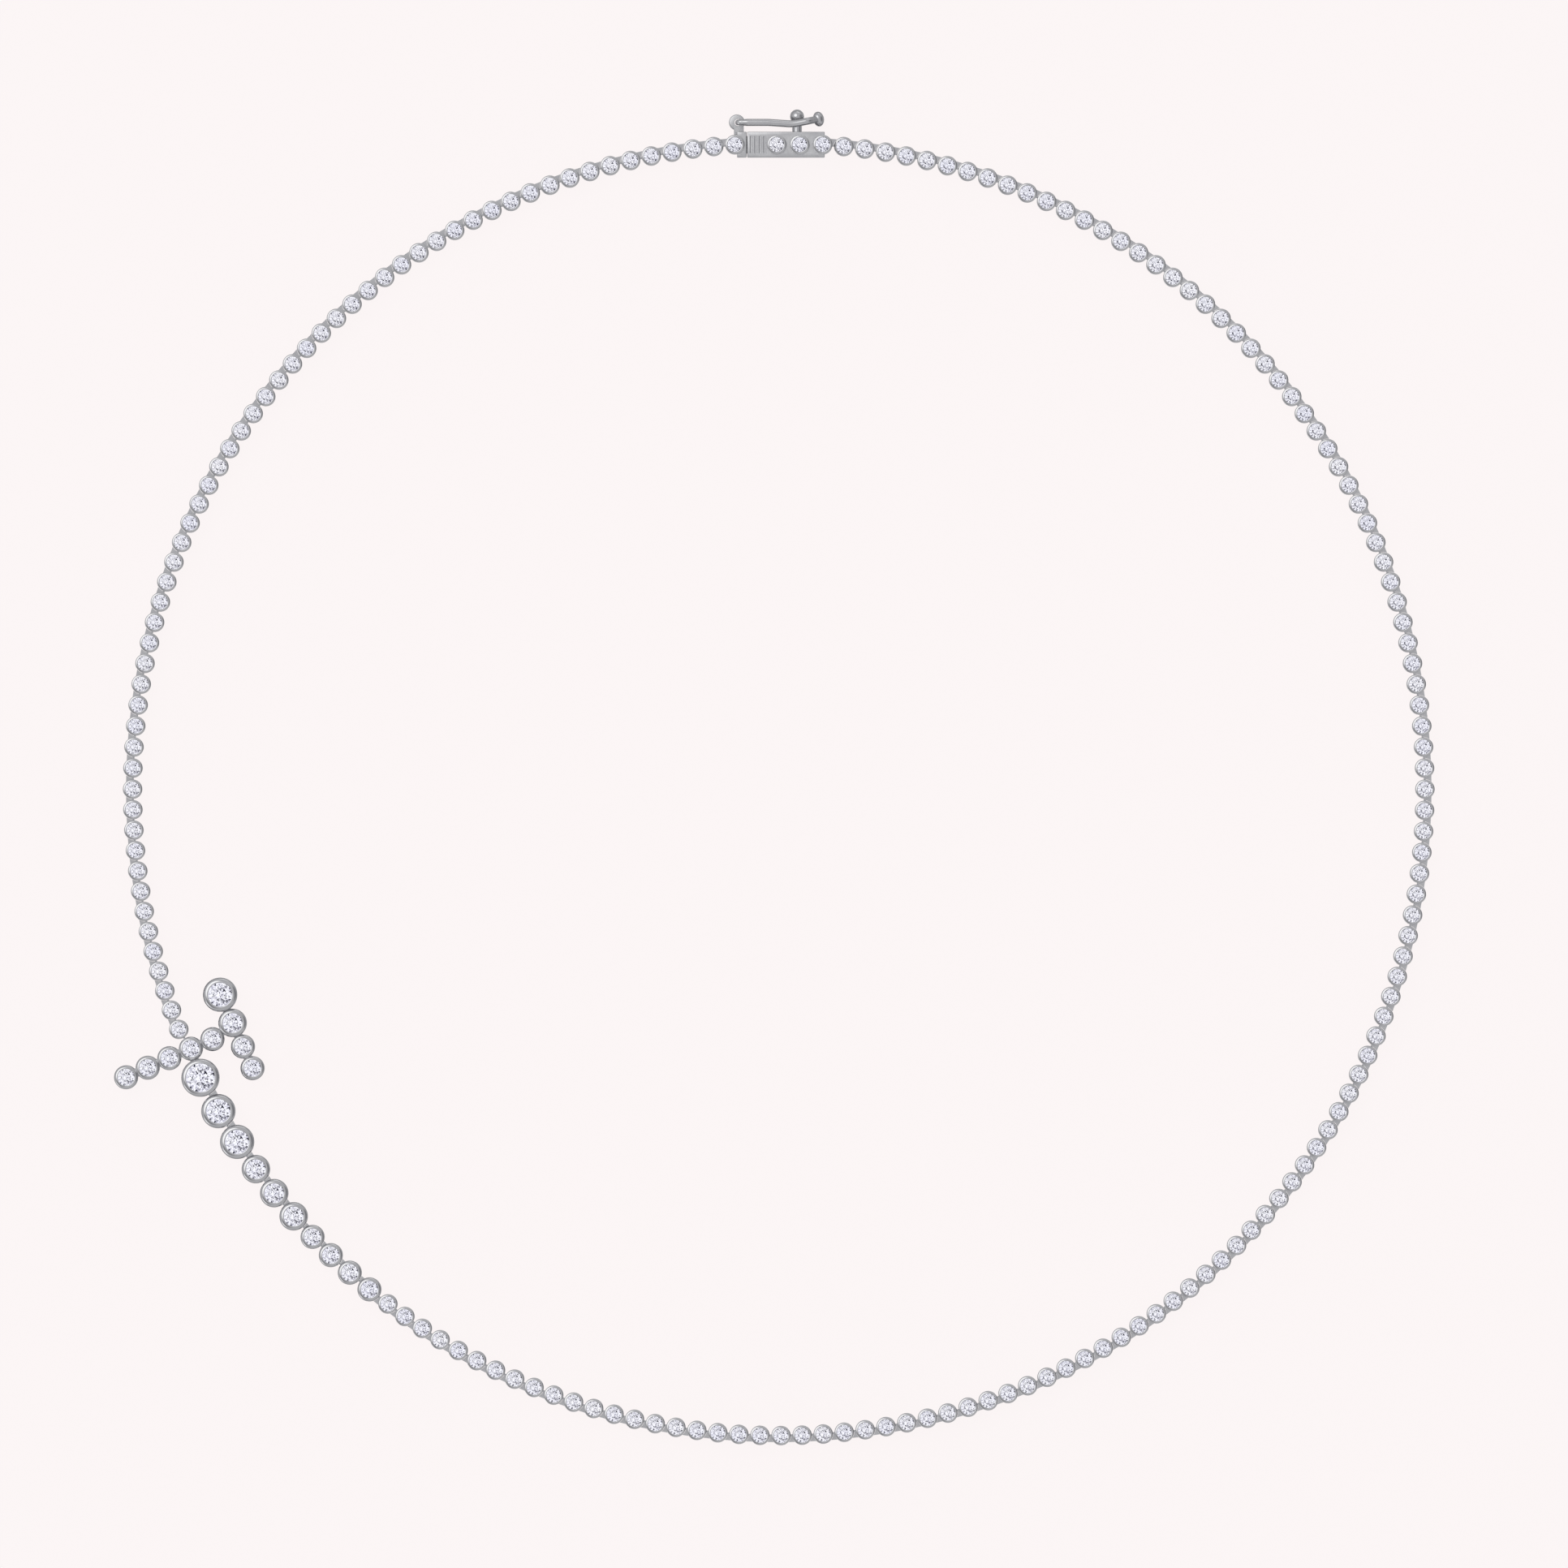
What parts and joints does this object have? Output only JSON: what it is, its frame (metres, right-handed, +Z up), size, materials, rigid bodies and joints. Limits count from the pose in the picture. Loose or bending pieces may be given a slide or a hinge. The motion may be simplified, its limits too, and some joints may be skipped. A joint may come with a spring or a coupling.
{
  "type": "riviere necklace",
  "caption": "Closed riviere necklace of round bezel-set clear stones, with a graduated run, a small soldered motif of bezels and a box clasp with a safety catch.",
  "frame": {"origin": "under the middle of the necklace's outline, on the surface that it lies on", "axes": "+Z up through the stones, +Y from the middle towards the clasp, +X to the right as seen from above"},
  "size_m": [0.132, 0.1336, 0.003],
  "materials": {
    "white_gold": "polished",
    "diamond": "faceted, clear"
  },
  "bodies": {
    "necklace": {"chain_right": "white_gold", "chain_left": "white_gold", "graduated_link_1": "white_gold", "graduated_link_2": "white_gold", "graduated_link_3": "white_gold", "graduated_link_4": "white_gold", "graduated_link_5": "white_gold", "graduated_link_6": "white_gold", "graduated_link_7": "white_gold", "graduated_link_8": "white_gold", "graduated_link_9": "white_gold", "motif_frame": "white_gold", "clasp_box": "white_gold", "clasp_tongue": "white_gold", "motif_stone_1": "diamond", "motif_stone_2": "diamond", "motif_stone_3": "diamond", "motif_stone_4": "diamond", "motif_stone_5": "diamond", "motif_stone_6": "diamond", "motif_stone_7": "diamond", "motif_stone_8": "diamond", "motif_stone_9": "diamond", "graduated_stone_1": "diamond", "graduated_stone_2": "diamond", "graduated_stone_3": "diamond", "graduated_stone_4": "diamond", "graduated_stone_5": "diamond", "graduated_stone_6": "diamond", "graduated_stone_7": "diamond", "graduated_stone_8": "diamond", "graduated_stone_9": "diamond", "graduated_stone_10": "diamond", "clasp_stone_1": "diamond", "clasp_stone_2": "diamond", "clasp_stone_3": "diamond", "clasp_stone_4": "diamond"},
    "catch": {"safety_catch": "white_gold"}
  },
  "joints": [
    {"name": "catch_hinge", "type": "hinge", "parent": "necklace", "child": "catch", "pos_m": [-0.00363, 0.06549, 0.00144], "axis": [0, 0, 1], "range_deg": [0, 110]}
  ]
}
